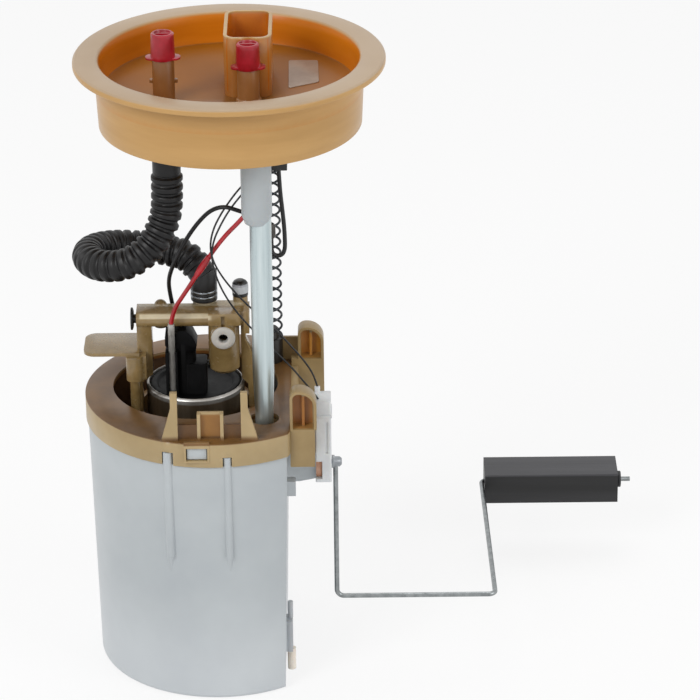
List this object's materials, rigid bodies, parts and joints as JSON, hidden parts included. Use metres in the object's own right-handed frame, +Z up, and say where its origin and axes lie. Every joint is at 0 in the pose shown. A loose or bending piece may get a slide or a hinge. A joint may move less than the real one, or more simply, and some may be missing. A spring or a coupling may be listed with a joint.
{
  "type": "fuel pump module",
  "caption": "In-tank fuel pump module: swirl pot with electric pump, sprung tank flange on a guide tube, hose and level sender with float.",
  "frame": {"origin": "centre of the pot's round underside, on the tank floor", "axes": "+Z up through the pot towards the flange, +X towards the flat side that carries the level sender, +Y away from the front"},
  "size_m": [0.254, 0.1659, 0.3022],
  "materials": {
    "cup_plastic": "satin",
    "tan_plastic": "satin",
    "flange_plastic": "satin",
    "red_plastic": "gloss",
    "black_plastic": "matte",
    "black_rubber": "matte",
    "zinc_steel": "satin",
    "white_plastic": "satin",
    "amber_plastic": "gloss",
    "steel": "satin",
    "laminations": "matte",
    "magnet": "matte",
    "copper": "satin",
    "carbon": "matte",
    "mesh": "matte",
    "sender_plastic": "satin",
    "float_foam": "matte",
    "red_wire": "satin",
    "black_wire": "satin"
  },
  "bodies": {
    "reservoir": {"reservoir_cup": "cup_plastic", "lid_ring": "tan_plastic", "guide_socket": "tan_plastic", "sender_bracket": "tan_plastic", "bridge": "tan_plastic", "pump_holder": "tan_plastic", "pump_end_cap": "black_plastic", "hose_fitting": "black_plastic", "stub_cap": "black_plastic", "pump_chamber_plate": "black_plastic", "pump_inlet_cover": "black_plastic", "spring_seat": "black_plastic", "bridge_end_pin": "black_plastic", "corrugated_hose": "black_rubber", "pump_dampers": "black_rubber", "valve_plug": "white_plastic", "stub_band": "white_plastic", "jet_pump": "white_plastic", "jet_nozzle": "amber_plastic", "pump_casing": "steel", "positive_terminal": "steel", "return_spring": "steel", "hose_clamps": "steel", "valve_ball": "steel", "pump_magnets": "magnet", "sender_card": "copper", "negative_terminal": "copper", "pump_brushes": "carbon", "pump_strainer": "mesh", "sender_housing": "sender_plastic", "red_lead": "red_wire", "red_splice": "red_wire", "black_lead": "black_wire", "sender_wire_a": "black_wire", "sender_wire_b": "black_wire"},
    "flange": {"tank_flange": "flange_plastic", "supply_nipple": "flange_plastic", "return_nipple": "flange_plastic", "connector_socket": "flange_plastic", "connector_blades": "copper", "guide_sleeve": "white_plastic", "guide_tube": "zinc_steel", "spring_cup": "white_plastic", "hose_cuff": "black_rubber", "lead_plug": "black_plastic", "black_splice": "black_rubber"},
    "float_arm": {"pivot_hub": "sender_plastic", "float_arm": "steel", "float_washer": "black_plastic"},
    "float": {"float": "float_foam"},
    "pump_rotor": {"pump_shaft": "steel", "pump_armature": "laminations", "commutator": "copper", "impeller": "black_plastic"},
    "supply_cap": {"supply_cap": "red_plastic"},
    "return_cap": {"return_cap": "red_plastic"}
  },
  "joints": [
    {"name": "flange_slide", "type": "slide", "parent": "reservoir", "child": "flange", "axis": [0, 0, 1], "range_m": [-0.05, 0], "stiffness_N_per_m": 400, "springref_m": 0.03, "deforming": ["return_spring", "corrugated_hose", "black_lead", "red_lead", "sender_wire_a", "sender_wire_b"]},
    {"name": "arm_swing", "type": "hinge", "parent": "reservoir", "child": "float_arm", "pos_m": [0.0525, -0.025, 0.103], "axis": [1, 0, 0], "range_deg": [0, 75]},
    {"name": "float_swivel", "type": "hinge", "parent": "float_arm", "child": "float", "pos_m": [0.155, 0.0886, 0.0356], "axis": [1, 0, 0], "continuous": true},
    {"name": "rotor_spin", "type": "hinge", "parent": "reservoir", "child": "pump_rotor", "pos_m": [-0.009, 0.005, 0.08], "axis": [0, 0, 1], "continuous": true},
    {"name": "supply_cap_off", "type": "slide", "parent": "flange", "child": "supply_cap", "axis": [0, 0, 1], "range_m": [0, 0.02]},
    {"name": "return_cap_off", "type": "slide", "parent": "flange", "child": "return_cap", "axis": [0, 0, 1], "range_m": [0, 0.02]}
  ]
}
